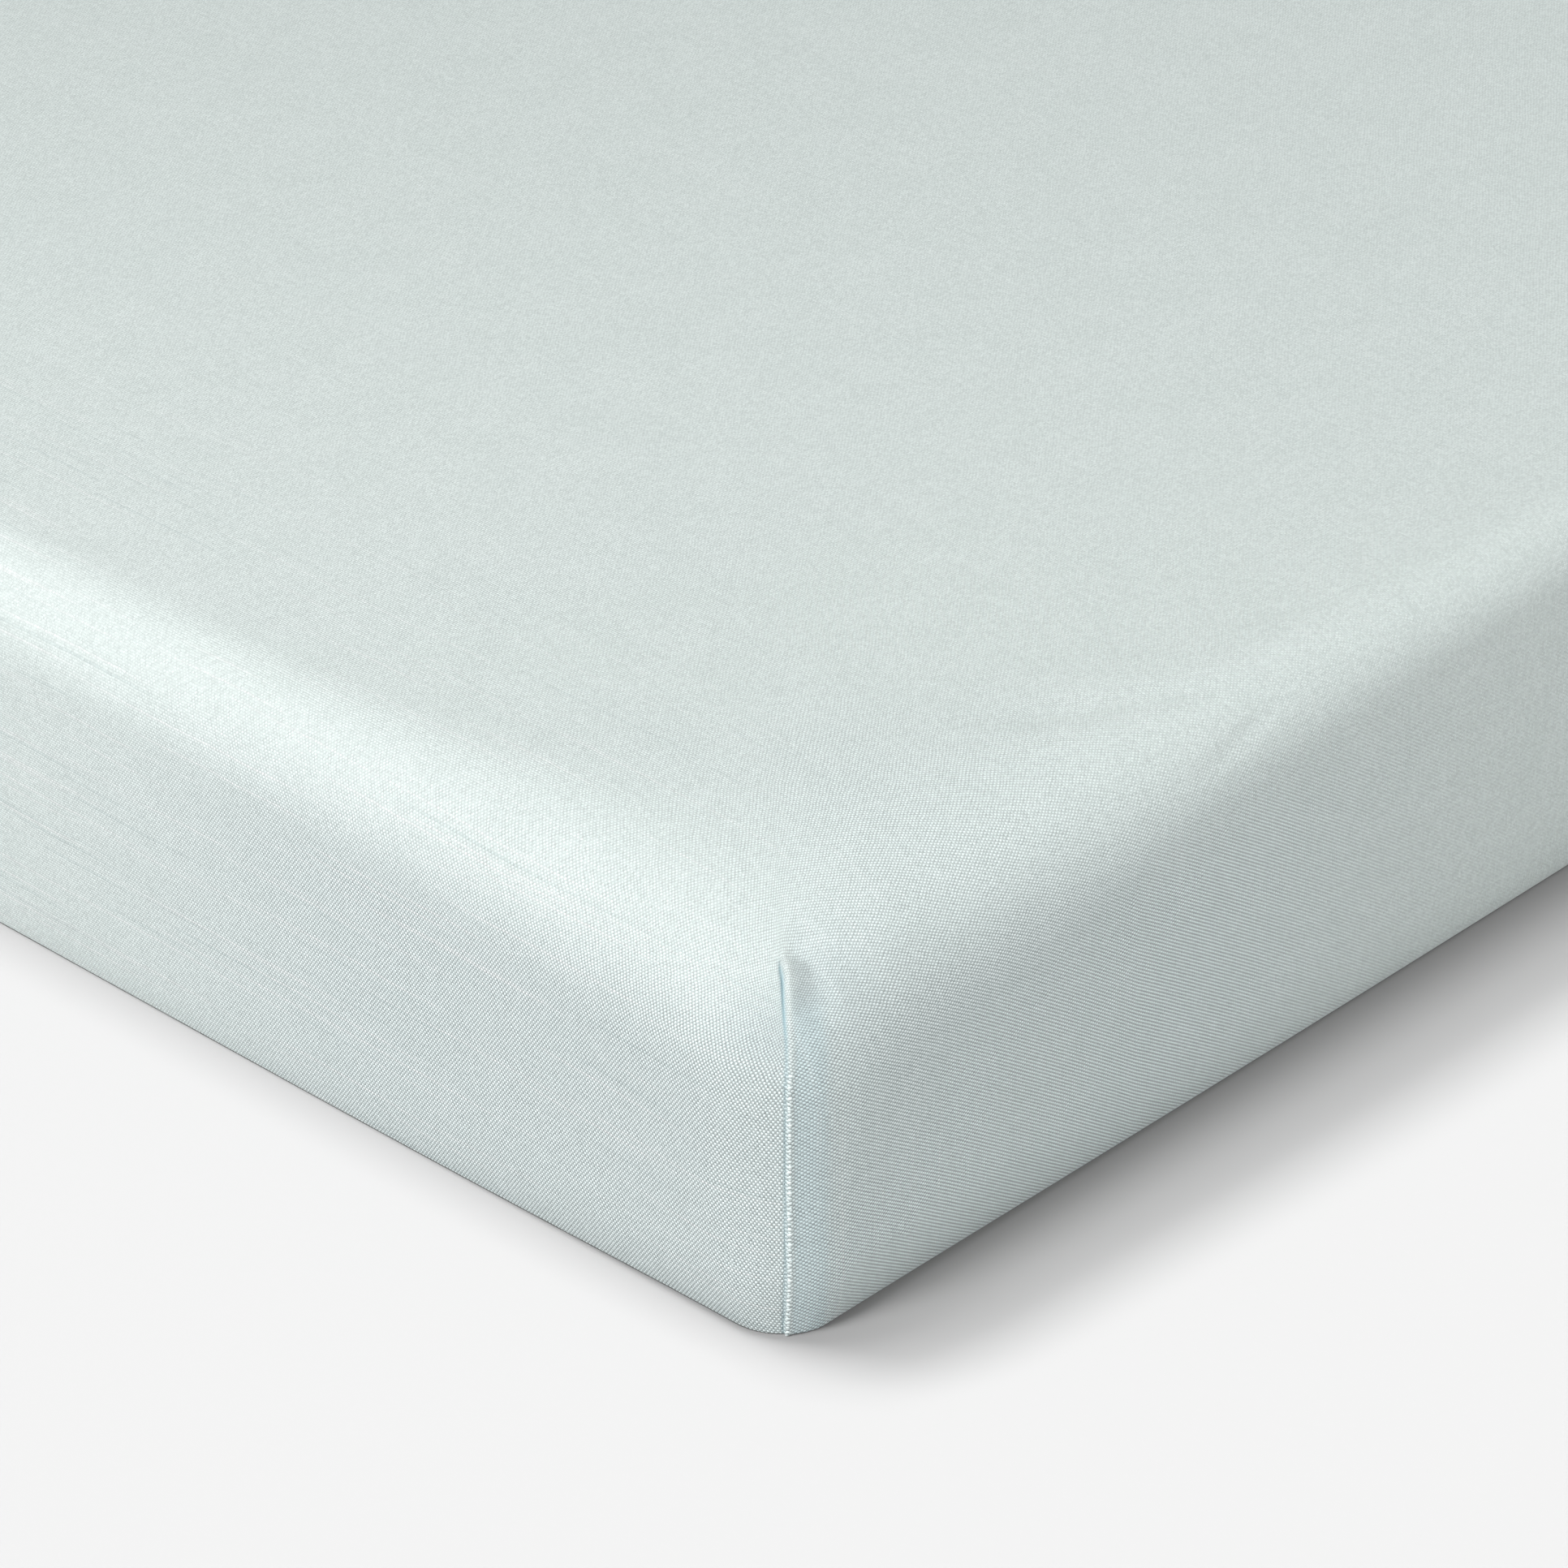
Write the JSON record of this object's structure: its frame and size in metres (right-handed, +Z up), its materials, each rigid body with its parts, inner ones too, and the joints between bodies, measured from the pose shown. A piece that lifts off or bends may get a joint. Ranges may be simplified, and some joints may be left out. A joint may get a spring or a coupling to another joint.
{
  "type": "fitted sheet on cot mattress",
  "caption": "Plain pale mint cotton fitted sheet stretched over a thin foam cot mattress, soft domed corners with a sewn dart up each one, hem turned under.",
  "frame": {"origin": "middle of the underside, on the surface that the sheet's hem flap rests on", "axes": "+X along the long side, +Y along the short side, +Z up"},
  "size_m": [1.2, 0.6, 0.08],
  "materials": {
    "sheet_cotton": "fine plain weave with a few thicker yarns and a slight sheen",
    "mattress_foam": "matt cut foam"
  },
  "bodies": {
    "root": {"fitted_sheet": "sheet_cotton", "mattress": "mattress_foam"}
  },
  "joints": []
}
